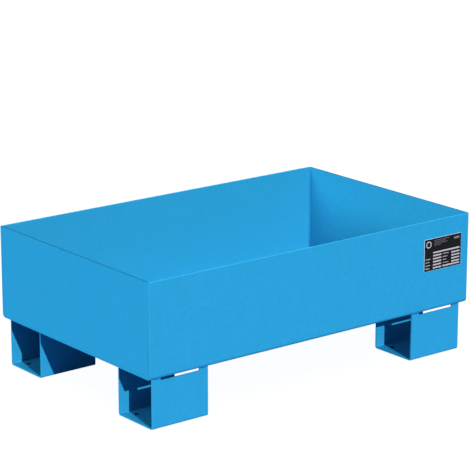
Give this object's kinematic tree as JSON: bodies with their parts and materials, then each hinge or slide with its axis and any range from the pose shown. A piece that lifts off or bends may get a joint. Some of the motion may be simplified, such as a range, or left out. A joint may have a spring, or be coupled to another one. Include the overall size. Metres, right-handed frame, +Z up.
{
  "type": "spill containment pallet",
  "caption": "Open rectangular sump tray of welded blue-painted sheet steel, raised on short folded channel legs, for standing containers of liquid in.",
  "frame": {"origin": "on the floor, under the middle of the tray", "axes": "+X along the tray's length towards its right end, -Y towards the long wall that carries the label, +Z up"},
  "size_m": [0.8, 0.5004, 0.29],
  "materials": {
    "blue_paint": "satin powder coat",
    "weld_paint": "satin powder coat over weld bead",
    "label_foil": "matt printed foil"
  },
  "bodies": {
    "root": {"tray_trough": "blue_paint", "left_end_plate": "blue_paint", "right_end_plate": "blue_paint", "front_left_leg": "blue_paint", "front_right_leg": "blue_paint", "rear_left_leg": "blue_paint", "rear_right_leg": "blue_paint", "left_end_weld": "weld_paint", "right_end_weld": "weld_paint", "front_left_leg_weld": "weld_paint", "front_right_leg_weld": "weld_paint", "rear_left_leg_weld": "weld_paint", "rear_right_leg_weld": "weld_paint", "rating_label": "label_foil"}
  },
  "joints": []
}
